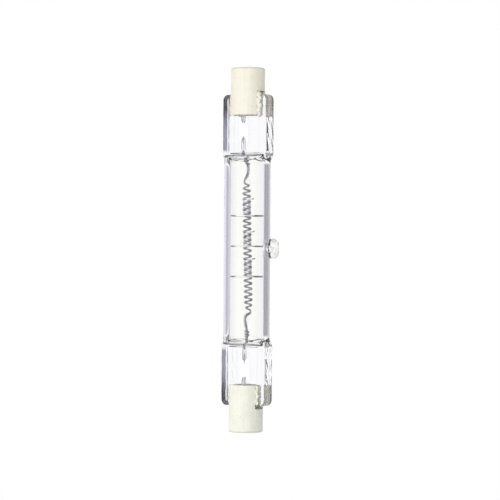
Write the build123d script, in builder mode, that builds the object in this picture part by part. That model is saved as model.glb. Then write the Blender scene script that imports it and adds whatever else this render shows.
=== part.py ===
from build123d import *
from math import asin, atan2, cos, degrees, hypot, pi, radians, sin
import os

os.makedirs("parts", exist_ok=True)

# Double-ended halogen lamp, in millimetres. It lies on its tube and on its exhaust tip.
# The origin is the middle of the tube. Y runs along the lamp, to end a at +Y and end b at -Y.
# X runs across the flat press seals and Z is up.
lamp_length = 78.0

# Clear quartz tube
tube_diameter = 10.0
tube_wall = 1.35
shoulder_length = 3.0
cavity_reach = 2.5
cavity_end_width = 6.9
cavity_end_height = 0.9
cavity_end_corner = 0.35

# Flat press seal at each end, with a rail along each side of a thin web
press_length = 12.95
press_width = 11.1
press_thickness = 3.2
web_width = 7.3
web_thickness = 1.6
recess_offset = 0.2
rail_corner = 0.45
rail_end_radius = 1.3

# Exhaust tip, where the filling tube was melted off
tip_height = 1.93
tip_radius = 2.0
tip_round = 0.9
tip_flare = 0.65
tip_root = 0.9
tip_place = 0.3
tip_bore_radius = 0.8
tip_bore_end_radius = 0.25
tip_bore_length = 2.2

# Ceramic cap at each end
cap_diameter = 7.3
cap_length = 10.1
cap_rim = 0.35
slot_width = 3.2
slot_depth = 5.1
press_gap = 0.65
recess_diameter = 3.8
recess_depth = 1.55
lead_room_diameter = 2.8
lead_room_depth = 1.5
stem_clearance = 0.05

# Contact in each cap
contact_diameter = 3.2
contact_clearance = 0.1
contact_thickness = 0.5
contact_edge = 0.12
stem_diameter = 1.5
stem_length = 1.4
lead_socket_depth = 1.1

# Cement that holds each cap on its press. At end b it leaves a gap each side of the lead.
cement_overrun_a = 0.5
cement_overrun_b = 0.0
cement_gap_a = 0.0
cement_gap_b = 1.0
cement_core_width = 3.4

# Sealed conductors, whose middle lies a little off the middle of the press
lead_offset_a = -0.8
lead_offset_b = -0.25
foil_width = 2.2
foil_thickness = 0.04
foil_start = 3.0
foil_end_cover = 5.15
inner_lead_diameter = 0.25
inner_lead_depth = 1.6
weld_overlap = 1.0
outer_lead_diameter = 0.6
lead_bend_radius = 0.6

# Filament: one long coil and its two legs, as the outside of the fine primary coil.
# The wire is a little thicker where each leg starts.
coil_wire_diameter = 0.6
coil_diameter = 2.1
coil_turns = 23.5
coil_offset_a = -0.2
coil_offset_b = 0.4
leg_length_a = 5.5
leg_length_b = 6.9
leg_depth = 2.6
leg_lead_in = 0.3
leg_bend_radius = 0.5
leg_start_swell = 1.04
leg_bows_a = ((0.3, 2.2), (0.15, 3.8))
leg_bows_b = ((-0.4, 1.2), (0.2, 4.9))

# Wire supports: each is wound into the coil and ends in a ring that fills the tube
support_wire_diameter = 0.3
support_middle = 0.8
support_spacing = 6.5
support_count = 3
support_whole_turns = 2
support_tail = 1.6
ring_clearance = 0.1
ring_sweep = 310.0
elbow_turn = 0.05
elbow_sweep = 20.0

tube_radius = tube_diameter / 2
bore_radius = tube_radius - tube_wall
cap_radius = cap_diameter / 2
lamp_end = lamp_length / 2
cap_start = lamp_end - cap_length
slot_end = cap_start + slot_depth
press_end = slot_end - press_gap
press_start = press_end - press_length
tube_end = press_start - shoulder_length
cavity_end = tube_end + cavity_reach
contact_face = lamp_end - recess_depth
contact_back = contact_face - contact_thickness
ends = (("a", 1, lead_offset_a), ("b", -1, lead_offset_b))

# The foil's upper face carries the inner lead and the outer lead.
foil_face = -outer_lead_diameter / 2
inner_lead_height = foil_face + inner_lead_diameter / 2
foil_from = press_start + foil_start
foil_to = press_end - foil_end_cover
foil_length = foil_to - foil_from
leg_end = cavity_end + leg_depth
rail_end_middle = press_width / 2 - rail_end_radius

# The tip leans down until its round edge and the tube rest on the same level.
tip_reach = tube_radius + tip_height
tip_edge_run = tip_reach - tip_round
tip_edge_rise = tip_radius - tip_round
tip_angle = asin((tube_radius - tip_round) / hypot(tip_edge_run, tip_edge_rise))
tip_angle = tip_angle - atan2(tip_edge_rise, tip_edge_run)
tip_way = Vector(cos(tip_angle), 0, -sin(tip_angle))
tip_plane = Plane(origin=(0, tip_place, 0), x_dir=tip_way, z_dir=(sin(tip_angle), 0, cos(tip_angle)))


def end_plane(side, reach, across=0.0, height=0.0):
    """A plane across the lamp at this distance from the middle, facing outwards."""
    return Plane(origin=(across, side * reach, height), x_dir=(1, 0, 0), z_dir=(0, side, 0))


def towards_tip(out, along):
    """A point so far out from the lamp's axis on the exhaust tip's side."""
    return tip_way * out + Vector(0, along, 0)


def squeeze(side, radius, reach, width, height, corner, mode):
    """Join the round tube to a flat rounded section. The circle is eight arcs that face its edges."""
    low = degrees(atan2(height / 2 - corner, width / 2))
    high = degrees(atan2(height / 2, width / 2 - corner))
    angle = -low
    with BuildLine(Plane.XY) as outline:
        for step in (2 * low, high - low, 180 - 2 * high, high - low) * 2:
            CenterArc((0, 0), radius, angle, step)
            angle += step
    with BuildSketch(end_plane(side, tube_end)) as round_section:
        make_face(outline.edges())
    with BuildSketch(end_plane(side, tube_end + reach)) as flat_section:
        RectangleRounded(width, height, corner)
    loft(sections=[round_section.sketch, flat_section.sketch], mode=mode)


def press_outline():
    """Section of the press: the rounded plate less its two shallow recesses."""
    RectangleRounded(press_width, press_thickness, rail_corner)
    with GridLocations(0, (press_thickness + web_thickness) / 2, 1, 2):
        Rectangle(web_width, (press_thickness - web_thickness) / 2, mode=Mode.SUBTRACT)


# Quartz envelope: tube, shoulders, presses and exhaust tip in one piece of glass
with BuildPart() as envelope:
    Cylinder(tube_radius, 2 * tube_end, rotation=(90, 0, 0))
    for name, side, offset in ends:
        squeeze(side, tube_radius, shoulder_length, press_width, press_thickness, rail_corner, Mode.ADD)
        with BuildSketch(end_plane(side, press_start)):
            RectangleRounded(press_width, press_thickness, rail_corner)
        extrude(amount=recess_offset)
        with BuildSketch(end_plane(side, press_start + recess_offset)):
            press_outline()
        extrude(amount=press_length - recess_offset)
        with BuildSketch(Plane.XY):
            for hand in (1, -1):
                with Locations((hand * press_width / 2, side * press_end)):
                    Rectangle(2 * rail_end_radius, 2 * rail_end_radius)
                with Locations((hand * rail_end_middle, side * (press_end - rail_end_radius))):
                    Circle(rail_end_radius, mode=Mode.SUBTRACT)
        extrude(amount=press_thickness, both=True, mode=Mode.SUBTRACT)
    with BuildSketch(tip_plane):
        with BuildLine():
            root = tube_radius - tip_root
            Polyline((tube_radius, tip_radius), (tip_edge_run, tip_radius))
            RadiusArc((tip_edge_run, tip_radius), (tip_reach, tip_edge_rise), tip_round)
            Polyline((tip_reach, tip_edge_rise), (tip_reach, 0), (root, 0), (root, tip_radius + tip_flare))
            Line((root, tip_radius + tip_flare), (tube_radius, tip_radius))
        make_face()
    revolve(axis=Axis((0, tip_place, 0), tip_way))
    Cylinder(bore_radius, 2 * tube_end, rotation=(90, 0, 0), mode=Mode.SUBTRACT)
    for name, side, offset in ends:
        cavity_flat = (cavity_end_width, cavity_end_height, cavity_end_corner)
        squeeze(side, bore_radius, cavity_reach, *cavity_flat, Mode.SUBTRACT)
        with BuildSketch(end_plane(side, tube_end, offset, inner_lead_height)):
            Circle(coil_wire_diameter / 2)
        extrude(amount=leg_end - tube_end, mode=Mode.SUBTRACT)
        with BuildSketch(end_plane(side, leg_end, offset, inner_lead_height)):
            Circle(inner_lead_diameter / 2)
        extrude(amount=foil_from + weld_overlap - leg_end, mode=Mode.SUBTRACT)
        with BuildSketch(end_plane(side, foil_from, offset, foil_face - foil_thickness / 2)):
            Rectangle(foil_width, foil_thickness)
        extrude(amount=foil_length, mode=Mode.SUBTRACT)
        with BuildSketch(end_plane(side, foil_to - weld_overlap, offset)):
            Circle(outer_lead_diameter / 2)
        extrude(amount=press_end - foil_to + weld_overlap, mode=Mode.SUBTRACT)
    with BuildSketch(Plane(origin=towards_tip(bore_radius, tip_place) - tip_way * tip_root, z_dir=tip_way)):
        Circle(tip_bore_radius)
    extrude(amount=tip_root, mode=Mode.SUBTRACT)
    with BuildSketch(Plane(origin=towards_tip(bore_radius, tip_place), z_dir=tip_way)) as bore_foot:
        Circle(tip_bore_radius)
    with BuildSketch(
        Plane(origin=towards_tip(bore_radius + tip_bore_length, tip_place), z_dir=tip_way)
    ) as bore_head:
        Circle(tip_bore_end_radius)
    loft(sections=[bore_foot.sketch, bore_head.sketch], mode=Mode.SUBTRACT)
envelope.part.label = "quartz_envelope"
export_step(envelope.part, "parts/quartz_envelope.step")

# Filament. The coil's frame has its foot at end b, X towards the exhaust tip and Z along the coil.
wire_radius = coil_wire_diameter / 2
coil_radius = coil_diameter / 2 - wire_radius
coil_foot = towards_tip(coil_offset_b, leg_length_b - cavity_end)
coil_head = towards_tip(coil_offset_a, cavity_end - leg_length_a)
coil_way = coil_head - coil_foot
coil_length = coil_way.length
coil_pitch = coil_length / coil_turns
coil_plane = Plane(origin=coil_foot, x_dir=tip_way, z_dir=coil_way)


def leg_points(start, side, bows, offset):
    """A leg from the coil's end, past its bows, into its press."""
    middle = [towards_tip(out, side * (cavity_end - length + along)) for out, along, length in bows]
    into_press = Vector(offset, side * (cavity_end - leg_lead_in), inner_lead_height)
    return [start] + middle + [into_press, Vector(offset, side * leg_end, inner_lead_height)]


with BuildPart() as filament:
    with BuildLine() as coil_path:
        add(coil_plane * Helix(coil_pitch, coil_length, coil_radius, mode=Mode.PRIVATE))
    with BuildSketch(Plane(origin=coil_path.line @ 0, z_dir=coil_path.line % 0)):
        Circle(wire_radius)
    sweep(path=coil_path.line, is_frenet=True)
    bows_a = [(out, along, leg_length_a) for out, along in leg_bows_a]
    bows_b = [(out, along, leg_length_b) for out, along in leg_bows_b]
    legs = ((coil_path.line @ 1, 1, bows_a, lead_offset_a), (coil_path.line @ 0, -1, bows_b, lead_offset_b))
    for start, side, bows, offset in legs:
        with BuildLine() as leg_path:
            FilletPolyline(*leg_points(start, side, bows, offset), radius=leg_bend_radius)
        with BuildSketch(Plane(origin=leg_path.line @ 0, z_dir=leg_path.line % 0)):
            Circle(wire_radius)
        sweep(path=leg_path.line)
        with Locations(start):
            Sphere(wire_radius * leg_start_swell)
        with BuildSketch(end_plane(side, leg_end - inner_lead_depth, offset, inner_lead_height)):
            Circle(inner_lead_diameter / 2)
        extrude(amount=inner_lead_depth, mode=Mode.SUBTRACT)
filament.part.label = "filament"
export_step(filament.part, "parts/filament.step")

# Wire supports. Each is one wire: a ring, an arc in to the coil, an elbow, a spiral midway between the
# coil's own turns, and a straight tail.
support_radius = support_wire_diameter / 2
ring_radius = bore_radius - ring_clearance - support_radius
front_turn = 0.75
for number in range(support_count):
    ring_place = support_middle + ((support_count - 1) / 2 - number) * support_spacing
    spiral_foot = (ring_place - coil_foot.Y) / coil_way.Y * coil_length
    foot_turn = spiral_foot / coil_pitch + 0.5
    foot = (coil_plane * Rot(0, 0, 360 * foot_turn) * Pos(coil_radius, 0, spiral_foot)).position
    turns = support_whole_turns + (front_turn - foot_turn) % 1 - elbow_turn
    spiral = Rot(0, 0, 360 * (foot_turn + elbow_turn)) * Helix(coil_pitch, turns * coil_pitch, coil_radius)
    spiral = coil_plane * Pos(0, 0, spiral_foot + elbow_turn * coil_pitch) * spiral
    ring_plane = Plane(origin=(0, foot.Y, 0), x_dir=tip_way, z_dir=(0, 1, 0))
    inner = ring_plane.to_local_coords(foot)
    inward = Vector(-cos(2 * pi * foot_turn), -sin(2 * pi * foot_turn))
    turn_radius = (ring_radius**2 - inner.length**2) / (2 * (inner.dot(inward) + ring_radius))
    turn_centre = inner + inward * turn_radius
    from_angle = degrees(atan2(inner.Y - turn_centre.Y, inner.X - turn_centre.X))
    to_angle = degrees(atan2(turn_centre.Y, turn_centre.X))
    turn_sweep = (from_angle - to_angle) % 360 - elbow_sweep
    with BuildPart() as support:
        with BuildLine(ring_plane) as ring_path:
            CenterArc((0, 0), ring_radius, to_angle - ring_sweep, ring_sweep)
            CenterArc(tuple(turn_centre)[:2], turn_radius, to_angle, turn_sweep)
        with BuildLine() as support_path:
            add(ring_path.line)
            add(spiral)
            Spline(ring_path.line @ 1, spiral @ 0, tangents=(ring_path.line % 1, spiral % 0))
            Line(spiral @ 1, (spiral @ 1) + (spiral % 1) * support_tail)
        support_wire = support_path.wire()
        with BuildSketch(Plane(origin=support_wire @ 0, z_dir=support_wire % 0)):
            Circle(support_radius)
        sweep(path=support_wire)
    support.part.label = f"filament_support_{number + 1}"
    export_step(support.part, f"parts/filament_support_{number + 1}.step")

# Conductors through each press, the caps, their contacts and the cement
cement_sizes = {"a": (cement_overrun_a, cement_gap_a), "b": (cement_overrun_b, cement_gap_b)}
room_end = slot_end + lead_room_depth
socket_start = contact_back - stem_length
for name, side, offset in ends:
    with BuildLine() as lead_path:
        FilletPolyline(
            (offset, side * (foil_to - weld_overlap), 0),
            (offset, side * press_end, 0),
            (0, side * room_end, 0),
            (0, side * (socket_start + lead_socket_depth), 0),
            radius=lead_bend_radius,
        )

    with BuildPart() as inner_lead:
        with BuildSketch(end_plane(side, leg_end - inner_lead_depth, offset, inner_lead_height)):
            Circle(inner_lead_diameter / 2)
        extrude(amount=foil_from + weld_overlap - leg_end + inner_lead_depth)
    inner_lead.part.label = f"inner_lead_{name}"
    export_step(inner_lead.part, f"parts/inner_lead_{name}.step")

    with BuildPart() as foil:
        with BuildSketch(end_plane(side, foil_from, offset, foil_face - foil_thickness / 2)):
            Rectangle(foil_width, foil_thickness)
        extrude(amount=foil_length)
    foil.part.label = f"sealing_foil_{name}"
    export_step(foil.part, f"parts/sealing_foil_{name}.step")

    with BuildPart() as outer_lead:
        with BuildSketch(end_plane(side, foil_to - weld_overlap, offset)):
            Circle(outer_lead_diameter / 2)
        sweep(path=lead_path.line)
    outer_lead.part.label = f"outer_lead_{name}"
    export_step(outer_lead.part, f"parts/outer_lead_{name}.step")

    with BuildPart() as cap:
        with BuildSketch(end_plane(side, cap_start)):
            Circle(cap_radius)
        extrude(amount=cap_length)
        fillet(cap.faces().sort_by(Axis.Y)[-1 if side > 0 else 0].edges(), cap_rim)
        with BuildSketch(end_plane(side, cap_start)):
            Rectangle(2 * cap_diameter, slot_width)
        extrude(amount=slot_depth, mode=Mode.SUBTRACT)
        with BuildSketch(end_plane(side, contact_face)):
            Circle(recess_diameter / 2)
        extrude(amount=recess_depth, mode=Mode.SUBTRACT)
        with BuildSketch(end_plane(side, contact_back)):
            Circle(contact_diameter / 2 + contact_clearance)
        extrude(amount=contact_thickness, mode=Mode.SUBTRACT)
        with BuildSketch(end_plane(side, slot_end)):
            Circle(stem_diameter / 2 + stem_clearance)
        extrude(amount=contact_back - slot_end, mode=Mode.SUBTRACT)
        with BuildSketch(end_plane(side, slot_end)):
            Circle(lead_room_diameter / 2)
        extrude(amount=lead_room_depth, mode=Mode.SUBTRACT)
    cap.part.label = f"ceramic_cap_{name}"
    export_step(cap.part, f"parts/ceramic_cap_{name}.step")

    with BuildPart() as contact:
        with BuildSketch(end_plane(side, contact_back)):
            Circle(contact_diameter / 2)
        extrude(amount=contact_thickness)
        fillet(contact.faces().sort_by(Axis.Y)[-1 if side > 0 else 0].edges(), contact_edge)
        with BuildSketch(end_plane(side, socket_start)):
            Circle(stem_diameter / 2)
        extrude(amount=stem_length)
        with BuildSketch(end_plane(side, socket_start)):
            Circle(outer_lead_diameter / 2)
        extrude(amount=lead_socket_depth, mode=Mode.SUBTRACT)
    contact.part.label = f"contact_{name}"
    export_step(contact.part, f"parts/contact_{name}.step")

    overrun, gap = cement_sizes[name]
    with BuildPart() as cement:
        with BuildSketch(end_plane(side, cap_start - overrun)):
            Rectangle(web_width, slot_width)
        extrude(amount=slot_depth + overrun - gap)
        with BuildSketch(end_plane(side, cap_start - overrun)):
            Rectangle(cement_core_width, slot_width)
        extrude(amount=slot_depth + overrun)
        with BuildSketch(end_plane(side, press_start)):
            press_outline()
        extrude(amount=press_length, mode=Mode.SUBTRACT)
        with BuildSketch(end_plane(side, foil_to - weld_overlap, offset)):
            Circle(outer_lead_diameter / 2)
        sweep(path=lead_path.line, mode=Mode.SUBTRACT)
    cement.part.label = f"cap_cement_{name}"
    export_step(cement.part, f"parts/cap_cement_{name}.step")
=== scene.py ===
from math import asin, atan2, cos, hypot, pi, radians, sin

import bmesh
import bpy
import numpy as np
from mathutils import Matrix, Vector


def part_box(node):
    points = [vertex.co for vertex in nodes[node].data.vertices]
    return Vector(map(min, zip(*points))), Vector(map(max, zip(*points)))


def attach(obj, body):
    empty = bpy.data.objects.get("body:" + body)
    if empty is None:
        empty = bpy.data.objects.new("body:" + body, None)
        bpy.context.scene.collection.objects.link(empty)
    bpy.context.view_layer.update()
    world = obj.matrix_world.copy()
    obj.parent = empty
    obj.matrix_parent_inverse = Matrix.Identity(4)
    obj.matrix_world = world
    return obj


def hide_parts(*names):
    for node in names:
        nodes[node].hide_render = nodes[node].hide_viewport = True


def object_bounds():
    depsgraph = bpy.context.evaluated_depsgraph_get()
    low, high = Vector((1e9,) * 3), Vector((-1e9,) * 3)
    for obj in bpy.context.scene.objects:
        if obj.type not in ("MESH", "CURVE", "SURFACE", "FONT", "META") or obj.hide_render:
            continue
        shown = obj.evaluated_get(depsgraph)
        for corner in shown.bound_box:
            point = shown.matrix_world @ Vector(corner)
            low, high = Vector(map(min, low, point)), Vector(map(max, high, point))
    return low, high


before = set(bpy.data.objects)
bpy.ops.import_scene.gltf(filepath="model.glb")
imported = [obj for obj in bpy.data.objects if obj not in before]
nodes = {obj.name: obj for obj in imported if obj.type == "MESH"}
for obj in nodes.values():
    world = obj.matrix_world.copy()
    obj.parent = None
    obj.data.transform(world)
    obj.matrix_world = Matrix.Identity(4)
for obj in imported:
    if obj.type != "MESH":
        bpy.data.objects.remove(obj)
cadBounds = [list(corner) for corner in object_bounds()]
mm = 0.001
print("frame: %d nodes" % len(nodes))

# The lamp lies along Y with its presses level. View directions are across the lamp: the exhaust tip leans
# down by tipAngle, so that its round edge and the tube rest on one level, and the camera faces that slope.
glassLow, glassHigh = (np.array(corner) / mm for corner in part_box("quartz_envelope"))
tubeRadius = glassHigh[2]
pressEnd = glassHigh[1]
pressHalfWidth = -glassLow[0]

tip = {"radius": 2.0, "round": 0.9, "rise": 1.93, "place": 0.3, "dome": 0.1, "wallFoot": 0.2, "flare": 0.2,
       "lump": 0.062, "skirt": 0.5, "disc": 3.45,
       "boreRadius": 0.8, "boreEnd": 0.25, "boreLength": 2.2, "boreFlare": 0.35, "boreSkirt": 0.6,
       "boreDisc": 1.55}

tipReach = tubeRadius + tip["rise"]
tipEdgeRun, tipEdgeRise = tipReach - tip["round"], tip["radius"] - tip["round"]
tipAngle = asin((tubeRadius - tip["round"]) / hypot(tipEdgeRun, tipEdgeRise)) - atan2(tipEdgeRise, tipEdgeRun)
tipWay = np.array([cos(tipAngle), 0, -sin(tipAngle)])      # towards the tip, and to the right in the picture
viewWay = np.array([sin(tipAngle), 0, cos(tipAngle)])      # from the lamp to the camera
alongWay = np.array([0.0, 1.0, 0.0])


# Meshes from arrays
def gridQuads(rows, columns, flip=False):
    # Corner numbers of a grid's quads: the four neighbours of each cell, where the last column meets the
    # first. With flip each quad is read backwards.
    left = np.arange(rows * columns).reshape(rows, columns)
    right = np.roll(left, -1, axis=1)
    quads = np.stack([left[:-1], left[1:], right[1:], right[:-1]], axis=-1).reshape(-1, 4)
    return quads[:, ::-1] if flip else quads


def meshPiece(name, parts):
    # parts is a list of (points in millimetres, quads). They become one smooth mesh in metres, with its
    # doubles merged.
    mergeDistance = 1e-7
    points, quads, start = [], [], 0
    for partPoints, partQuads in parts:
        points.append(partPoints.reshape(-1, 3) * mm)
        quads.append(partQuads + start)
        start += len(points[-1])
    points, quads = np.concatenate(points), np.concatenate(quads)
    mesh = bpy.data.meshes.new(name)
    mesh.vertices.add(len(points))
    mesh.vertices.foreach_set("co", points.astype(np.float32).ravel())
    mesh.loops.add(quads.size)
    mesh.loops.foreach_set("vertex_index", quads.astype(np.int32).ravel())
    mesh.polygons.add(len(quads))
    mesh.polygons.foreach_set("loop_start", np.arange(0, quads.size, 4, dtype=np.int32))
    mesh.update(calc_edges=True)
    work = bmesh.new()
    work.from_mesh(mesh)
    bmesh.ops.remove_doubles(work, verts=work.verts, dist=mergeDistance)
    bmesh.ops.dissolve_degenerate(work, edges=work.edges, dist=mergeDistance)
    loose = [v for v in work.verts if not v.link_faces]
    bmesh.ops.delete(work, geom=loose, context="VERTS")
    work.to_mesh(mesh)
    triangles = sum(len(face.verts) - 2 for face in work.faces)
    work.free()
    mesh.polygons.foreach_set("use_smooth", np.full(len(mesh.polygons), True))
    piece = bpy.data.objects.new(name, mesh)
    bpy.context.scene.collection.objects.link(piece)
    print("%s: %d triangles" % (name, triangles))
    return piece


def unit(vectors):
    # Each vector divided by its length
    return vectors / np.linalg.norm(vectors, axis=-1, keepdims=True)


def smoothStep(value, start, end):
    # 0 before start and 1 after end, with the curve 3t^2 - 2t^3 between them
    t = np.clip((value - start) / (end - start), 0, 1)
    return t * t * (3 - 2 * t)


def lengthAlong(points):
    # How far along the line each of its points lies
    return np.concatenate([[0], np.cumsum(np.linalg.norm(np.diff(points, axis=0), axis=1))])


def evenPath(points, count):
    # The same line through count points, evenly spaced along its length
    along = lengthAlong(points)
    places = np.linspace(0, along[-1], count)
    return np.stack([np.interp(places, along, points[:, axis]) for axis in range(3)], axis=1), places


def tube(points, radii, sides, reference):
    # A circle carried along a line. Its first radius points along the reference, less the part of the
    # reference that runs along the line, and the second is square to both. Each end closes on the line.
    way = unit(np.gradient(points, axis=0))
    first = unit(reference - np.sum(reference * way, axis=1, keepdims=True) * way)
    second = np.cross(way, first)
    angle = np.linspace(0, 2 * pi, sides, endpoint=False)[None, :, None]
    circle = np.cos(angle) * first[:, None, :] + np.sin(angle) * second[:, None, :]
    radii = np.broadcast_to(np.asarray(radii, float), (len(points),))
    rings = points[:, None, :] + radii[:, None, None] * circle
    firstPole, lastPole = (points[[end], None, :] + 0 * circle[:1] for end in (0, -1))
    rings = np.concatenate([firstPole, rings, lastPole])
    return rings, gridQuads(len(rings), sides, flip=True)


spanPoints = 24


def throughPoints(points):
    # A smooth line through a few points: on each span a cubic that leaves each point along the line
    # that joins its two neighbours (Catmull-Rom)
    points = np.asarray(points, float)
    padded = np.concatenate([[2 * points[0] - points[1]], points, [2 * points[-1] - points[-2]]])
    t = np.linspace(0, 1, spanPoints, endpoint=False)[None, :, None]
    a, b, c, d = (padded[i:len(padded) - 3 + i, None, :] for i in range(4))
    square, cube = 2 * a - 5 * b + 4 * c - d, 3 * b - a - 3 * c + d
    line = 0.5 * (2 * b + (c - a) * t + square * t**2 + cube * t**3)
    return np.concatenate([line.reshape(-1, 3), points[-1:]])


# Quartz envelope
quartz = {"wall": 1.35, "pressLength": 12.95, "shoulder": 3.0, "pressThickness": 3.2, "railEnd": 1.3,
          "railCorner": 0.3, "railCornerUnder": 0.07, "railCornerLeft": 0.3, "railCornerLeftUnder": 0.08,
          "leftShort": 0.14, "webWidth": 7.4, "webHalfHeight": 1.45, "webEdge": 0.55, "webStart": 0.12,
          "webRamp": 0.3, "endRound": 0.14,
          "flareStart": 18.7, "flareEnd": 20.3, "pinchStart": 19.6, "pinchEnd": 20.45,
          "cavityReach": 2.5, "cavityWidth": 7.0, "cavityHeight": 0.9, "cavityCorner": 0.35,
          "cavityNose": 0.15, "cavityPinchStart": 19.6, "cavityPinchEnd": 19.9,
          "ripple": 0.014, "railWave": 0.022, "columns": 232, "boreColumns": 176,
          # half lengths of the stretches round the tip whose rows are close together, and their rows
          "denseReach": 4.2, "denseRows": 82,
          "boreDenseReach": 1.75, "boreDenseRows": 38, "boreFirstRow": 2.2}
pressStart = pressEnd - quartz["pressLength"]
tubeEnd = pressStart - quartz["shoulder"]
boreRadius = tubeRadius - quartz["wall"]


def flattenedRing(theta, radius, share, halfWidth, halfHeight, corner, narrow=0, leftCorner=None):
    # A circle drawn towards a rounded rectangle by two shares, across and up. The rectangle is a core
    # rectangle plus a radius, and its eight edges face eight arcs of the circle. narrow draws in the core's
    # outer part. With a leftCorner, each of the four corners has its own radius.
    low, high = atan2(halfHeight - corner, halfWidth), atan2(halfHeight, halfWidth - corner)
    stops = np.array([-low, low, high, pi - high, pi - low, pi + low, pi + high, 2 * pi - high, 2 * pi - low])
    angle = (theta + low) % (2 * pi) - low
    turn = np.interp(angle, stops, np.array([0, 0, 1, 1, 2, 2, 3, 3, 4]) * pi / 2)
    across = np.interp(angle, stops, [1, 1, 1, -1, -1, -1, -1, 1, 1])
    above = np.interp(angle, stops, [-1, 1, 1, 1, 1, -1, -1, -1, -1])
    if leftCorner:
        rightCorner = np.where(np.sin(theta) < 0, quartz["railCornerUnder"], corner)
        leftCorner = np.where(np.sin(theta) < 0, quartz["railCornerLeftUnder"], leftCorner)
        corner = np.where(np.cos(theta) < 0, leftCorner, rightCorner)
    coreX, held = across * (halfWidth - corner), quartz["webWidth"] / 2 + quartz["webEdge"] / 2
    if np.any(narrow):
        outer = np.clip((np.abs(coreX) - held) / (halfWidth - corner - held), 0, 1)
        coreX = np.sign(coreX) * (np.abs(coreX) - outer * narrow)
    x = coreX + corner * np.cos(turn)
    z = above * (halfHeight - corner) + corner * np.sin(turn)
    wide, flat = share
    return radius * np.cos(theta) * (1 - wide) + x * wide, radius * np.sin(theta) * (1 - flat) + z * flat


def raiseTip(points, theta, y, radius, discRadius, profile, lump=0.0):
    # A disc of the tube's surface round the tip's place is carried onto a surface of revolution about the
    # tip's axis. The distance from the disc's middle becomes the length along the profile, whose rows are
    # radius, reach and how far the point has settled back onto the tube. Products of waves make it lumpy.
    turn = (theta + tipAngle + pi) % (2 * pi) - pi
    side, up = radius * turn, y - tip["place"]
    distance = np.hypot(side, up)
    inside = distance < discRadius
    steps = np.hypot(np.diff(profile[0]), np.diff(profile[1] * (1 - profile[2]) + radius * profile[2]))
    length = np.concatenate([[0], np.cumsum(steps)])
    place = distance / discRadius * length[-1]
    out, reach, settled = (np.interp(place, length, row) for row in profile)
    across, along = out * side / np.maximum(distance, 1e-9), out * up / np.maximum(distance, 1e-9)
    surface = np.sqrt(np.maximum(radius**2 - across**2, 0))
    wrinkle = np.sin(4.1 * across + 1.3) * np.sin(3.7 * along - 2.2 * reach)
    wrinkle = wrinkle + 0.5 * np.sin(7.3 * along + 3.9 * across + reach)
    wrinkle = wrinkle + 0.9 * np.sin(15 * across + 2 * reach) * np.sin(13 * along + 4 * reach)
    wrinkle = lump * wrinkle * (1 - settled) * np.clip(out / 0.5, 0, 1)
    across, along = across * (1 + wrinkle), along * (1 + 0.8 * wrinkle)
    height = (reach - lump * (1 - settled) + 0.6 * wrinkle) * (1 - settled) + surface * settled
    raised = (height[..., None] * tipWay + across[..., None] * viewWay
              + (along + tip["place"])[..., None] * alongWay)
    return np.where(inside[..., None], raised, points)


def quarter(count=12):
    # Angles from none to a quarter turn
    return np.linspace(0, pi / 2, count)


# The tip's outside: a low dome, a round shoulder, a short wall and a hollow flare onto the tube
turn = quarter()
flat = tip["radius"] - tip["round"]
domeRadius = np.linspace(0, flat, 6)[:-1]
wallFoot = tubeRadius + tip["wallFoot"]
tipProfile = np.array([
    np.concatenate([domeRadius, flat + tip["round"] * np.sin(turn),
                    tip["radius"] + tip["flare"] * (1 - np.cos(turn)),
                    [tip["radius"] + tip["flare"] + tip["skirt"]]]),
    np.concatenate([tipReach - tip["dome"] * (domeRadius / flat)**2,
                    tipReach - tip["dome"] - tip["round"] * (1 - np.cos(turn)),
                    0 * turn + wallFoot, [wallFoot]]),
    np.concatenate([0 * domeRadius, 0 * turn, np.sin(turn), [1]])])

# The bore that the filling tube left: a round nose, a taper and a flare onto the cavity
boreNose = boreRadius + tip["boreLength"]
boreProfile = np.array([
    np.concatenate([tip["boreEnd"] * np.sin(turn), [tip["boreRadius"]],
                    tip["boreRadius"] + tip["boreFlare"] * (1 - np.cos(turn)),
                    [tip["boreRadius"] + tip["boreSkirt"]]]),
    np.concatenate([boreNose - tip["boreEnd"] * (1 - np.cos(turn)), [boreRadius + 0.3],
                    0 * turn + boreRadius + 0.25, [boreRadius]]),
    np.concatenate([0 * turn, [0], np.sin(turn), [1]])])


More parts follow.
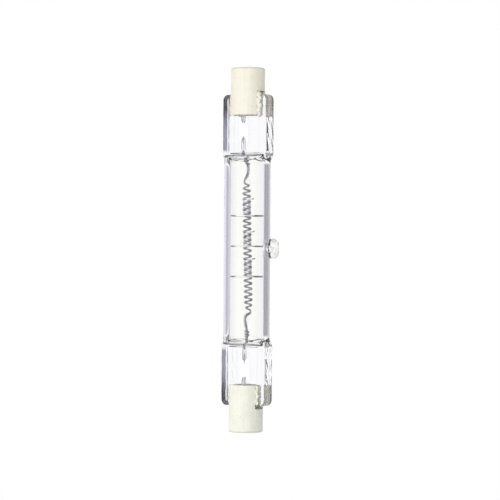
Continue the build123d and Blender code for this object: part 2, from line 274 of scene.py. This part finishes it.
def envelopeOutside():
    # Rows run along the lamp and columns round it. The tube's circle is drawn to the press's section
    # through the shoulder, the web is sunk between the rails, and the last rows close to the middle line.
    # Waves ripple the presses and their rails.
    base = np.linspace(-pi, pi, quartz["columns"], endpoint=False)
    halfWidth, halfHeight = pressHalfWidth, quartz["pressThickness"] / 2
    webHalf, edge = quartz["webWidth"] / 2, quartz["webEdge"] / 2
    high = atan2(halfHeight, halfWidth - quartz["railCorner"])
    perWidth = (pi - 2 * high) / (2 * (halfWidth - quartz["railCorner"]))
    stepAngle = pi / 2 - (webHalf + np.linspace(-edge, edge, 9)) * perWidth
    cornerAngle = np.linspace(atan2(halfHeight - quartz["railCorner"], halfWidth), high, 7)
    extra = np.concatenate([stepAngle, cornerAngle])
    extra = np.concatenate([extra, pi - extra, -extra, extra - pi])
    theta = np.unique(np.round(np.concatenate([base, extra]), 6))
    railEnd, endRound = quartz["railEnd"], quartz["endRound"]
    curve = np.linspace(0, 1, 12)
    rampEnd = quartz["pinchEnd"] + quartz["webStart"] + quartz["webRamp"]
    dense = quartz["denseReach"]
    half = [np.linspace(dense, tubeEnd, 14), np.linspace(tubeEnd, quartz["pinchStart"], 8)[1:],
            np.linspace(quartz["pinchStart"], quartz["pinchEnd"], 18)[1:],
            np.linspace(quartz["pinchEnd"], rampEnd, 8)[1:],
            np.linspace(rampEnd, pressEnd - railEnd, 24)[1:-1],
            pressEnd - railEnd + (railEnd - endRound) * np.sin(curve[1:] * pi / 2),
            pressEnd - endRound + endRound * np.sin(quarter(6)[1:]), np.full(5, pressEnd)]
    half = np.concatenate(half)
    place = np.linspace(-1, 1, quartz["denseRows"])[1:-1]
    middle = np.linspace(-dense, dense, quartz["denseRows"])[1:-1] + tip["place"] * (1 - place**2)
    y = np.concatenate([-half[::-1], middle, half])[:, None]
    closing = np.concatenate([np.ones(len(half) - 5), [0.8, 0.6, 0.4, 0.2, 0.0]])
    closing = np.concatenate([closing[::-1], np.ones(len(middle)), closing])[:, None]
    theta = theta[None, :]
    far = np.abs(y)
    wide = smoothStep(far, quartz["flareStart"], quartz["flareEnd"])
    share = smoothStep(far, quartz["pinchStart"], quartz["pinchEnd"])
    past = np.clip(far - (pressEnd - railEnd), 0, railEnd)
    narrow = railEnd - np.sqrt(railEnd**2 - past**2)
    x, z = flattenedRing(theta, tubeRadius, (wide, share), halfWidth, halfHeight, quartz["railCorner"],
                         narrow, quartz["railCornerLeft"])
    sunk = 1 - smoothStep(np.abs(x), webHalf - edge, webHalf + edge)
    start = quartz["pinchEnd"] + quartz["webStart"]
    sunk = sunk * smoothStep(far, start, start + quartz["webRamp"])
    z = z - np.sign(z) * sunk * (halfHeight - quartz["webHalfHeight"])
    inward = endRound * (1 - np.cos(np.arcsin(np.clip((far - pressEnd + endRound) / endRound, 0, 1))))
    z = z - np.sign(z) * np.minimum(inward, np.abs(z) * 0.5)
    ripple = np.sin(3.1 * y + 1.7 * x) * np.sin(1.3 * y - 2.3 * x + 1.1)
    ripple = ripple + 0.6 * np.sin(5.3 * y + 0.9 * x + 0.4)
    fade = smoothStep(far, tubeEnd + 0.5, pressStart + 1)
    fade = fade * (1 - smoothStep(far, pressEnd - 0.8, pressEnd - 0.1))
    z = (z - np.sign(z) * quartz["ripple"] * (1 + ripple) * fade) * closing
    x = x + quartz["leftShort"] * smoothStep(-x, webHalf, halfWidth) * wide
    wave = 1 + 0.6 * np.sin(1.9 * y + np.sign(x)) + 0.4 * np.sin(4.3 * y + 2 * np.sign(x))
    x = x - np.sign(x) * quartz["railWave"] * wave * fade * smoothStep(np.abs(x), webHalf, halfWidth)
    points = np.stack([x, y + 0 * x, z], axis=-1)
    points = raiseTip(points, theta + 0 * x, y + 0 * x, tubeRadius, tip["disc"], tipProfile, tip["lump"])
    return points, gridQuads(*x.shape)


def envelopeInside():
    # The cavity: a straight bore whose ends are drawn flat and close in a round nose
    theta = np.linspace(-pi, pi, quartz["boreColumns"], endpoint=False)[None, :]
    halfWidth, halfHeight = quartz["cavityWidth"] / 2, quartz["cavityHeight"] / 2
    cavityEnd, nose = tubeEnd + quartz["cavityReach"], quartz["cavityNose"]
    half = np.concatenate([np.linspace(quartz["boreFirstRow"], quartz["cavityPinchStart"], 12),
                           np.linspace(quartz["cavityPinchStart"], cavityEnd - nose, 22)[1:],
                           cavityEnd - nose + nose * np.sin(quarter(9)[1:])])
    dense = quartz["boreDenseReach"]
    middle = tip["place"] + np.linspace(-dense, dense, quartz["boreDenseRows"])
    y = np.concatenate([-half[::-1], middle, half])[:, None]
    far = np.abs(y)
    share = smoothStep(far, quartz["cavityPinchStart"], quartz["cavityPinchEnd"])
    x, z = flattenedRing(theta, boreRadius, (share, share), halfWidth, halfHeight, quartz["cavityCorner"])
    past = np.clip((far - cavityEnd + nose) / nose, 0, 1)
    close = np.sqrt(1 - past**2)
    x, z = x * (1 - 0.12 * (1 - close)), z * close
    points = np.stack([x, y + 0 * x, z], axis=-1)
    points = raiseTip(points, theta + 0 * x, y + 0 * x, boreRadius, tip["boreDisc"], boreProfile)
    return points, gridQuads(*x.shape, flip=True)


# Open channels that the glass leaves round each lead: (side, across, height, from, to, radius)
channels = ((1, -0.8, -0.175, 20.7, 24.1, 0.5), (-1, -0.25, -0.175, 20.7, 23.75, 0.5),
            (1, -0.8, 0.0, 27.4, 29.6, 0.55), (-1, -0.25, 0.0, 27.4, 29.6, 0.5))


def channel(side, across, height, start, end, radius):
    # A straight tube with round ends, its faces turned inwards
    turn = quarter(7)
    y = np.concatenate([start + radius * (1 - np.cos(turn)), [(start + end) / 2],
                        end - radius * (1 - np.sin(turn))])
    radii = radius * np.concatenate([np.sin(turn), [1], np.cos(turn)])
    points = np.stack([0 * y + across, side * y, 0 * y + height], axis=1)
    rings, quads = tube(points, radii, 18, np.array([1.0, 0, 0]))
    return rings, quads[:, ::-1]


envelopeParts = [envelopeOutside(), envelopeInside()] + [channel(*place) for place in channels]
envelope = meshPiece("quartzEnvelope", envelopeParts)
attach(envelope, "root")
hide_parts("quartz_envelope")


# Filament: a fine primary coil wound into the long coil and its two legs.
# A leg's points are (towards the tip, along the lamp). From the last one it runs into its press.
filament = {"wire": 0.1, "outer": 0.44, "legOuter": 0.68, "pitch": 0.17, "coilDiameter": 1.9, "turns": 23.5,
            "endShare": 0.6, "endTurns": 1.6, "coilPoints": 2400, "legRamp": 40,
            "footOffset": 0.4, "headOffset": -0.2, "foot": -13.0, "head": 14.4,
            "legHead": ((-0.5, 15.1), (0.02, 16.1), (0.25, 17.2), (0.1, 18.3), (-0.25, 19.2)),
            "legFoot": ((0.75, -13.6), (0.25, -13.75), (-0.25, -14.3), (-0.32, -15.2), (0.05, -17.2),
                        (0.1, -18.6)),
            "pressEntry": 20.3, "pressDepth": 21.3, "headSide": -0.8, "footSide": -0.25, "height": -0.175,
            "leadReach": 24.0, "perTurn": 12, "wrapPerTurn": 14, "sides": 6}
# Each wrap is (side, from, to, outer diameter, wire, turns): coarse turns round a leg or round its lead
wraps = ((1, 18.2, 20.6, 1.12, 0.26, 3.6), (-1, 17.2, 18.8, 1.2, 0.3, 2.6),
         (1, 22.9, 23.8, 0.74, 0.12, 2.2), (-1, 22.3, 23.4, 0.8, 0.14, 3.0))


def alongLamp(out, along):
    return tipWay * out + alongWay * along


def coilLine():
    # A helix from the coil's foot to its head, narrower at both ends. The second result points out from its
    # axis.
    foot = alongLamp(filament["footOffset"], filament["foot"])
    head = alongLamp(filament["headOffset"], filament["head"])
    up = unit(head - foot)
    first = unit(tipWay - np.dot(tipWay, up) * up)
    second = np.cross(up, first)
    turn = np.linspace(0, 2 * pi * filament["turns"], filament["coilPoints"])[:, None]
    fromEnd = np.minimum(turn, turn[-1] - turn) / (2 * pi)
    taper = filament["endShare"] + (1 - filament["endShare"]) * smoothStep(fromEnd, 0, filament["endTurns"])
    radius = (filament["coilDiameter"] - filament["outer"]) / 2 * taper
    outward = np.cos(turn) * first + np.sin(turn) * second
    return foot + (head - foot) * turn / turn[-1] + radius * outward, outward


def legLine(coil, side):
    # A smooth line from the coil's head, or with side -1 from its foot, through the leg's points and into
    # the press
    if side > 0:
        before, start, leg, offset = coil[-12], coil[-1], filament["legHead"], filament["headSide"]
    else:
        before, start, leg, offset = coil[11], coil[0], filament["legFoot"], filament["footSide"]
    points = [before, start] + [alongLamp(*place) for place in leg]
    points += [np.array([offset, side * depth, filament["height"]])
               for depth in (filament["pressEntry"], filament["pressDepth"])]
    return throughPoints(points)[spanPoints:]


def filamentLine(coil, outward):
    # The foot's leg, the coil and the head's leg as one line. The second result points out from the coil's
    # axis, and is held still along each leg. The third is the primary coil's outer diameter, wider on the
    # legs.
    head, foot = legLine(coil, 1), legLine(coil, -1)[::-1]
    points = np.concatenate([foot[:-1], coil, head[1:]])
    radial = np.concatenate([np.tile(outward[:1], (len(foot) - 1, 1)), outward,
                             np.tile(outward[-1:], (len(head) - 1, 1))])
    onLeg = np.zeros(len(points))
    onLeg[:len(foot)] = smoothStep(np.arange(len(foot))[::-1], 0, filament["legRamp"])
    onLeg[-len(head):] = smoothStep(np.arange(len(head)), 0, filament["legRamp"])
    return points, radial, filament["outer"] + (filament["legOuter"] - filament["outer"]) * onLeg


def coiledWire(points, reference, outer):
    # A helix of the fine wire round a line, and a round tube carried along that helix
    wire, pitch = filament["wire"], filament["pitch"]
    along = lengthAlong(points)
    line, places = evenPath(points, int(along[-1] / pitch * filament["perTurn"]))
    ref = np.stack([np.interp(places, along, reference[:, axis]) for axis in range(3)], axis=1)
    way = unit(np.gradient(line, axis=0))
    first = unit(ref - np.sum(ref * way, axis=1, keepdims=True) * way)
    second = np.cross(way, first)
    turn = (2 * pi * places / pitch)[:, None]
    out = np.cos(turn) * first + np.sin(turn) * second
    outer = np.interp(places, along, outer)[:, None]
    helix = line + (outer - wire) / 2 * out
    return tube(helix, wire / 2, filament["sides"], out)


def legWrap(coil, side, start, end, outer, wire, turns):
    # A coarse helix round the part of one leg, or of the lead that follows it, between two distances
    line = legLine(coil, side)
    lead = np.array([[line[-1, 0], side * filament["leadReach"], line[-1, 2]]])
    line = evenPath(np.concatenate([line, lead]), 600)[0]
    line = line[(np.abs(line[:, 1]) > start) & (np.abs(line[:, 1]) < end)]
    line = evenPath(line, int(turns * filament["wrapPerTurn"]))[0]
    way = unit(np.gradient(line, axis=0))
    first = unit(viewWay - np.sum(viewWay * way, axis=1, keepdims=True) * way)
    turn = np.linspace(0, 2 * pi * turns, len(line))[:, None]
    out = np.cos(turn) * first + np.sin(turn) * np.cross(way, first)
    return tube(line + (outer - wire) / 2 * out, wire / 2, filament["sides"], out)


coilPoints, coilOutward = coilLine()
primary = coiledWire(*filamentLine(coilPoints, coilOutward))
coil = meshPiece("filamentCoil", [primary] + [legWrap(coilPoints, *wrap) for wrap in wraps])
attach(coil, "root")
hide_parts("filament")


# Cement: a lump above and one below each press, pushed into the cap's slot and left uneven at its mouth,
# and a bead along one edge of the slot. A mouth is (side, place along the lamp, sag, depth), and a bead is
# (across, from, to, radius).
cement = {"width": 3.78, "inner": 0.81, "outer": 1.585, "flat": 0.35, "beadHeight": 1.5,
          "mouths": {"a": (1, 28.62, 0.42, 5.3), "b": (-1, 28.98, 0.16, 4.1)},
          "beads": {"a": (3.74, 28.5, 33.9, 0.46), "b": (3.66, 28.9, 33.1, 0.3)}}


def cementLump(side, mouth, sag, depth, face, seed):
    # Rows run into the cap and columns round a flattened section, a circle whose cosine and sine are raised
    # to a small power. Waves move the mouth's edge in and out and swell the sides, and both ends close round.
    angle = np.linspace(0, 2 * pi, 72, endpoint=False)[None, :]
    along = np.concatenate([np.linspace(0, 0.12, 9), np.linspace(0.12, 0.94, 34)[1:],
                            np.linspace(0.94, 1, 6)[1:]])[:, None]
    power = cement["flat"]
    mouthRound = np.sqrt(1 - (1 - np.clip(along / 0.06, 0, 1))**2)
    depthRound = np.sqrt(1 - np.clip((along - 0.95) / 0.05, 0, 1)**2)
    closing = np.minimum(mouthRound, depthRound)
    cosine, sine = np.cos(angle), np.sin(angle)
    across = np.sign(cosine) * np.abs(cosine)**power
    up = np.sign(sine) * np.abs(sine)**power
    swell = 1 - 0.035 * (1 + np.sin(9 * along + seed) * np.sin(23 * along + 2 * seed))
    x = cement["width"] * across * swell * (0.86 + 0.14 * closing)
    middle, half = (cement["outer"] + cement["inner"]) / 2, (cement["outer"] - cement["inner"]) / 2
    lumps = 0.06 * np.sin(2.7 * x + 14 * along + seed) * np.sin(31 * along - 1.9 * x)
    z = face * (middle + up * closing * (half - 0.06 + lumps))
    waves = 0.5 + 0.3 * np.sin(1.35 * x + seed) + 0.2 * np.sin(3.9 * x + 2.3 * seed)
    waves = waves + 0.12 * np.sin(8.1 * x - seed)
    y = side * (mouth + depth * along - sag * (waves - 0.9) * (1 - along)**3)
    points = np.stack([x, y + 0 * x, z], axis=-1)
    outwards = side * face > 0
    return points, gridQuads(*x.shape, flip=not outwards)


def cementBead(side, across, start, end, radius, seed):
    # A lumpy bead of cement along one edge of the cap's slot: a tube of changing radius with round ends,
    # whose line wanders with two waves
    along = np.linspace(0, 1, 60)
    y = side * (start + (end - start) * along)
    x = across * (1 + 0.035 * np.sin(17 * along + seed) + 0.02 * np.sin(41 * along + 2 * seed))
    z = cement["beadHeight"] + 0.07 * np.sin(23 * along + seed)
    radii = radius * np.sqrt(np.maximum(1 - np.abs(2 * along - 1)**8, 0))
    radii = radii * (1 + 0.22 * np.sin(29 * along + seed))
    return tube(np.stack([x, y, z], axis=1), radii, 20, np.array([0.0, 0, 1]))


for name, mouth in cement["mouths"].items():
    side = mouth[0]
    lumps = [cementLump(*mouth, face, seed) for face, seed in ((1, 0.7 + side), (-1, 2.9 + side))]
    lumps.append(cementBead(side, *cement["beads"][name], 1.3 * side))
    piece = meshPiece("capCement_" + name, lumps)
    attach(piece, "root")
    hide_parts("cap_cement_" + name)


# Materials
class Wire:
    # One output socket that adds, multiplies and so on like a number
    def __init__(self, graph, socket):
        self.graph, self.socket = graph, socket

    def __add__(self, other):
        return self.graph.math("ADD", self, other)

    def __sub__(self, other):
        return self.graph.math("SUBTRACT", self, other)

    def __rsub__(self, other):
        return self.graph.math("SUBTRACT", other, self)

    def __mul__(self, other):
        return self.graph.math("MULTIPLY", self, other)

    __radd__ = __add__
    __rmul__ = __mul__


class Graph:
    # The node tree of one material, or of the world
    def __init__(self, name, world=None):
        self.material = world or bpy.data.materials.new(name)
        self.material.use_nodes = True
        self.tree = self.material.node_tree
        self.tree.nodes.clear()
        self.place = self.node("ShaderNodeTexCoord", output="Generated" if world else "Object")

    def node(self, kind, settings=None, inputs=None, output=0):
        made = self.tree.nodes.new(kind)
        for name, value in (settings or {}).items():
            if name == "stops":
                self.rampStops(made.color_ramp, value)
            else:
                setattr(made, name, value)
        for name, value in (inputs or {}).items():
            if isinstance(value, Wire):
                self.tree.links.new(value.socket, made.inputs[name])
            else:
                made.inputs[name].default_value = value
        return Wire(self, made.outputs[output]) if len(made.outputs) else None

    def rampStops(self, ramp, stops):
        while len(ramp.elements) > 1:
            ramp.elements.remove(ramp.elements[-1])
        for number, (place, colour) in enumerate(stops):
            element = ramp.elements[0] if number == 0 else ramp.elements.new(place)
            element.position = place
            element.color = self.colour(colour)

    def math(self, operation, first, second=0.0):
        return self.node("ShaderNodeMath", {"operation": operation}, {0: first, 1: second})

    def mix(self, factor, first, second):
        inputs = {0: factor, 6: self.colour(first), 7: self.colour(second)}
        return self.node("ShaderNodeMix", {"data_type": "RGBA"}, inputs, 2)

    def colour(self, value):
        return value if isinstance(value, Wire) or len(value) == 4 else (*value, 1)

    def noise(self, scale, detail=2.0, place=None, roughness=0.5):
        inputs = {"Vector": place or self.place, "Scale": scale, "Detail": detail, "Roughness": roughness}
        return self.node("ShaderNodeTexNoise", None, inputs, "Fac")

    def ramp(self, value, *stops):
        return self.node("ShaderNodeValToRGB", {"stops": stops}, {"Fac": value}, "Color")

    def spread(self, value, low, high, start=0.0, end=1.0):
        inputs = {"Value": value, "From Min": low, "From Max": high, "To Min": start, "To Max": end}
        return self.node("ShaderNodeMapRange", {"clamp": True}, inputs)

    def bump(self, height, strength, distance):
        inputs = {"Height": height, "Strength": strength, "Distance": distance}
        return self.node("ShaderNodeBump", None, inputs)

    def finish(self, inputs):
        shader = self.node("ShaderNodeBsdfPrincipled", None, inputs)
        self.output(shader)
        return self.material

    def axis(self, name):
        return self.node("ShaderNodeSeparateXYZ", None, {0: self.place}, name)

    def above(self, value, limit):
        return self.math("GREATER_THAN", value, limit)

    def output(self, shader, kind="ShaderNodeOutputMaterial"):
        self.node(kind, None, {"Surface": shader})
        return self.material


def linear(red, green, blue):
    # A colour of 0 to 255 steps as the numbers that a shader takes
    return tuple(c / 255 / 12.92 if c <= 10 else ((c / 255 + 0.055) / 1.055)**2.4 for c in (red, green, blue))


def quartzMaterial():
    # Clear glass with a faint flow, a little greyer past the shoulders, and with painted shade: greyer where
    # its surface faces away, standing in for the dark bands at the tube's edges
    look = {"clear": linear(252, 252, 250), "edge": linear(247, 246, 250), "rim": linear(248, 247, 250),
            "pressed": linear(246, 246, 248), "pressedFrom": 0.0202, "pressedTo": 0.0206}
    graph = Graph("clearQuartz")
    facing = graph.node("ShaderNodeLayerWeight", None, {"Blend": 0.5}, "Facing")
    # Painted shade: the edge and rim greys darken the glass as its surface turns away
    tint = graph.ramp(facing, (0.0, look["clear"]), (0.28, look["clear"]), (0.45, look["edge"]),
                      (0.72, look["edge"]), (0.9, look["rim"]), (1.0, look["rim"]))
    pressed = graph.spread(graph.math("ABSOLUTE", graph.axis("Y")), look["pressedFrom"], look["pressedTo"])
    tint = graph.mix(pressed, tint, look["pressed"])
    flow = graph.noise(260, 1.5)
    normal = graph.bump(flow, 0.06, 0.0004)
    return graph.finish({"Base Color": tint, "Roughness": 0.0, "IOR": 1.458, "Transmission Weight": 1.0,
                         "Normal": normal})


def grained(graph, fine, rough):
    # Roughness and normal of a metal from its fine grain
    return {"Roughness": rough + (fine - 0.5) * 0.12, "Normal": graph.bump(fine, 0.15, 0.00002)}


def metalMaterial(name, dark, light, rough, scale, tint=None):
    # Drawn wire, foil or plating: cloudy from dark to light, with a fine grain and, with a tint, stains
    graph = Graph(name)
    cloud = graph.noise(scale, 3)
    fine = graph.noise(scale * 9, 2)
    colour = graph.mix(graph.spread(cloud, 0.3, 0.7), dark, light)
    if tint:
        colour = graph.mix(graph.spread(graph.noise(scale * 0.35, 2), 0.52, 0.75, 0, 0.5), colour, tint)
    return graph.finish({"Base Color": colour, "Metallic": 1.0, **grained(graph, fine, rough)})


def supportMaterial():
    # Thin tungsten wire with painted shade: darker at the two sides of each ring that lie towards and away
    # from the tip, where the ring turns away from the camera
    look = {"dark": linear(92, 91, 100), "pale": linear(246, 245, 248), "middle": -0.0005, "from": 0.0016,
            "to": 0.0022, "rough": 0.24}
    graph = Graph("supportWire")
    # Where the painted shade falls: both sides of each ring along the tip's direction
    across = graph.axis("X") * float(tipWay[0]) + graph.axis("Z") * float(tipWay[2])
    ends = graph.spread(graph.math("ABSOLUTE", across - look["middle"]), look["from"], look["to"])
    fine = graph.noise(2700, 2)
    colour = graph.mix(ends * (0.7 + fine * 0.4), look["pale"], look["dark"])
    return graph.finish({"Base Color": colour, "Metallic": 1.0, **grained(graph, fine, look["rough"])})


def ceramicMaterial():
    # Cream steatite: cloudy, finely grained and pitted, with drawn streaks and a darker rim at the open end
    look = {"bodyA": linear(238, 233, 214), "patchA": linear(245, 241, 226), "bodyB": linear(235, 235, 219),
            "patchB": linear(243, 243, 231), "pit": linear(190, 182, 160), "rim": linear(205, 203, 184),
            "rimFrom": 0.0385, "rimTo": 0.0389}
    graph = Graph("creamCeramic")
    along = graph.axis("Y")
    far = graph.math("ABSOLUTE", along)
    endA = graph.above(along, 0.0)
    cloud = graph.noise(420, 4)
    grain = graph.noise(5200, 3)
    drawn = graph.node("ShaderNodeMapping", None, {"Vector": graph.place, "Scale": (1.0, 0.06, 1.0)})
    streak = graph.noise(1500, 2, place=drawn)
    pit = graph.spread(graph.noise(2600, 2, roughness=0.6), 0.3, 0.38)
    body = graph.mix(endA, look["bodyB"], look["bodyA"])
    patch = graph.mix(endA, look["patchB"], look["patchA"])
    colour = graph.mix(graph.spread(cloud * 0.55 + streak * 0.45, 0.38, 0.62), body, patch)
    colour = graph.mix((1 - pit) * 0.35, colour, look["pit"])
    colour = graph.mix(graph.spread(far, look["rimFrom"], look["rimTo"]) * 0.75, colour, look["rim"])
    height = grain * 0.35 + pit + streak * 0.3
    return graph.finish({"Base Color": colour, "Roughness": 0.52 + (cloud - 0.5) * 0.2,
                         "Subsurface Weight": 0.08, "Subsurface Radius": (0.0012, 0.001, 0.0008),
                         "Subsurface Scale": 0.3, "Normal": graph.bump(height, 0.3, 0.00005)})


def cementMaterial():
    # White cement: cloudy, matt and grainy
    graph = Graph("capCement")
    lump, grain = graph.noise(900, 4, roughness=0.6), graph.noise(6000, 3)
    colour = graph.mix(graph.spread(lump, 0.35, 0.65), linear(230, 228, 212), linear(248, 246, 236))
    normal = graph.bump(lump + grain * 0.5, 0.6, 0.0001)
    return graph.finish({"Base Color": colour, "Roughness": 0.85, "Normal": normal})


def dress(material, *names):
    for name in names:
        piece = bpy.data.objects[name]
        if piece.data.materials:
            for number in range(len(piece.data.materials)):
                piece.data.materials[number] = material
        else:
            piece.data.materials.append(material)


# Each metal is (name, dark, light, roughness, scale of its clouds) and may have a tint.
metals = {"tungsten": ("coiledTungsten", linear(120, 119, 130), linear(214, 213, 223), 0.26, 900),
          "lead": ("leadWire", linear(214, 213, 216), linear(250, 249, 249), 0.34, 600,
                   linear(150, 138, 128)),
          "foil": ("sealingFoil", linear(251, 251, 251), linear(255, 255, 255), 0.3, 500),
          "contact": ("contactNickel", linear(176, 172, 164), linear(208, 205, 198), 0.28, 500,
                      linear(168, 150, 120))}
dress(quartzMaterial(), "quartzEnvelope")
dress(metalMaterial(*metals["tungsten"]), "filamentCoil")
dress(supportMaterial(), "filament_support_1", "filament_support_2", "filament_support_3")
dress(metalMaterial(*metals["lead"]), "inner_lead_a", "inner_lead_b", "outer_lead_a", "outer_lead_b")
dress(metalMaterial(*metals["foil"]), "sealing_foil_a", "sealing_foil_b")
dress(ceramicMaterial(), "ceramic_cap_a", "ceramic_cap_b")
dress(metalMaterial(*metals["contact"]), "contact_a", "contact_b")
dress(cementMaterial(), "capCement_a", "capCement_b")
print("materials done")


# Floor, world and lights. The floor is plain white, but light that was reflected inside the glass meets
# painted
# shade on it: pale and dark strips, seen only along those paths, that paint the dark bands in the glass. A
# strip is (millimetres across the lamp, grey). The presses, the shoulders and the lamp's ends have strips of
# their own, whose zones are metres along the lamp.
studio = {"floorSize": 3.0, "floorDrop": 0.00002, "floorLight": 1.0, "floorBounce": 0.5, "reach": 40.0,
          "paintedShadeStrips": ((-40, 214), (-28, 200), (-19, 184), (-15, 186), (-12, 200), (-9, 226), (-7, 236),
                    (-2, 242), (1.9, 190), (3.4, 143), (4.2, 165), (6.3, 155), (7.6, 236)),
          "paintedShadeTint": (0.985, 0.98, 1.05), "white": (1, 1, 1),
          "deepPaintedShade": linear(60, 60, 76), "deepPaintedShadeLeftOf": -0.007,
          "pressShadeNear": linear(140, 140, 160), "pressShadeFar": linear(40, 40, 55),
          "pressZone": (0.0205, 0.022), "pressFade": (0.0265, 0.031), "shoulderZone": (0.0184, 0.0192),
          "endZone": (0.036, 0.04),
          "sky": linear(252, 252, 254), "horizon": linear(206, 205, 212), "ends": linear(250, 250, 252),
          "skyRise": (0.0, 0.7), "skyEnds": (0.25, 0.6),
          "skyStrength": 0.88, "boxHeight": 0.5, "boxSize": (0.66, 0.6), "boxPower": 0.98, "boxSide": -0.05}


def floorMaterial():
    graph = Graph("paleFloor")
    bounce, glossy, through = (graph.node("ShaderNodeLightPath", output=name)
                               for name in ("Is Diffuse Ray", "Glossy Depth", "Transmission Depth"))
    inGlass = graph.above(glossy, 0.5) * graph.above(through, 0.5)
    strength = studio["floorLight"] - bounce * (studio["floorLight"] - studio["floorBounce"])
    reach, tint, white = studio["reach"], studio["paintedShadeTint"], studio["white"]
    # Painted shade: grey strips across the lamp, seen only by light that was reflected inside the glass
    stops = [((place + reach) / (2 * reach), linear(*(min(value * part, 255) for part in tint)))
             for place, value in studio["paintedShadeStrips"]]
    paintedShadeStrips = graph.ramp(graph.spread(graph.axis("X"), -reach * mm, reach * mm), *stops)
    along = graph.math("ABSOLUTE", graph.axis("Y"))
    press = graph.spread(along, *studio["pressZone"])
    # Painted shade beside the presses, fading from near to far
    pressPaintedShade = graph.mix(graph.spread(along, *studio["pressFade"]), studio["pressShadeNear"], studio["pressShadeFar"])
    paintedShadeStrips = graph.mix(press, paintedShadeStrips, pressPaintedShade)
    paintedShadeStrips = graph.mix(graph.spread(along, *studio["shoulderZone"]) * (1 - press), paintedShadeStrips, white)
    # Deeper painted shade left of the presses, for light reflected more than once inside the glass
    farLeft = press * (1 - graph.above(graph.axis("X"), studio["deepPaintedShadeLeftOf"]))
    paintedShadeStrips = graph.mix(graph.above(glossy, 1.5), paintedShadeStrips, graph.mix(farLeft, white, studio["deepPaintedShade"]))
    paintedShadeStrips = graph.mix(graph.spread(along, *studio["endZone"]), paintedShadeStrips, white)
    colour = graph.mix(inGlass, white, paintedShadeStrips)
    return graph.output(graph.node("ShaderNodeEmission", None, {"Color": colour, "Strength": strength}))


halfFloor = studio["floorSize"] / 2
floorMesh = bpy.data.meshes.new("floor")
floorHeight = cadBounds[0][2] - studio["floorDrop"]
floorCorners = [(x * halfFloor, y * halfFloor, floorHeight) for x, y in ((-1, -1), (1, -1), (1, 1), (-1, 1))]
floorMesh.from_pydata(floorCorners, [], [(0, 1, 2, 3)])
floor = bpy.data.objects.new("floor", floorMesh)
bpy.context.scene.collection.objects.link(floor)
floorMesh.materials.append(floorMaterial())


def studioWorld():
    # Pale all round, lighter overhead and towards the lamp's two ends
    world = bpy.data.worlds.new("studio")
    graph = Graph("studio", world)
    colour = graph.mix(graph.spread(graph.axis("Z"), *studio["skyRise"]), studio["horizon"], studio["sky"])
    ends = graph.spread(graph.math("ABSOLUTE", graph.axis("Y")), *studio["skyEnds"])
    colour = graph.mix(ends, colour, studio["ends"])
    light = graph.node("ShaderNodeBackground", None, {"Color": colour, "Strength": studio["skyStrength"]})
    graph.output(light, "ShaderNodeOutputWorld")
    return world


bpy.context.scene.world = studioWorld()


def areaLight(name, place, size, power):
    # A rectangle of light that faces the lamp
    light = bpy.data.lights.new(name, "AREA")
    light.shape = "RECTANGLE"
    light.size, light.size_y = size
    light.energy = power
    holder = bpy.data.objects.new(name, light)
    holder.location = place
    holder.rotation_euler = Vector(place).to_track_quat("Z", "Y").to_euler()
    bpy.context.scene.collection.objects.link(holder)


boxPlace = (studio["boxSide"], 0, studio["boxHeight"])
areaLight("overheadSoftbox", boxPlace, studio["boxSize"], studio["boxPower"])

# Camera: square to the lamp on the tip's side, as far away as a product picture is taken
camera = {"distance": 0.44, "focal": 147.6, "sensor": 36.0, "roll": 0.38, "aimRight": 0.00066}
cameraData = bpy.data.cameras.new("camera")
cameraData.lens = camera["focal"]
cameraData.sensor_width = camera["sensor"]
cameraHolder = bpy.data.objects.new("camera", cameraData)
bpy.context.scene.collection.objects.link(cameraHolder)
turned = Matrix((Vector(tipWay), Vector(alongWay), Vector(viewWay))).transposed().to_4x4()
aim = Vector(tipWay) * camera["aimRight"]
cameraHolder.matrix_world = (Matrix.Translation(aim + Vector(viewWay) * camera["distance"]) @ turned
                             @ Matrix.Rotation(radians(camera["roll"]), 4, "Z"))
bpy.context.scene.camera = cameraHolder
bpy.context.scene.view_settings.view_transform = "Standard"
bpy.context.scene.cycles.max_bounces = 24
bpy.context.scene.cycles.transmission_bounces = 20
bpy.context.scene.cycles.transparent_max_bounces = 16
print("camera and lights done")
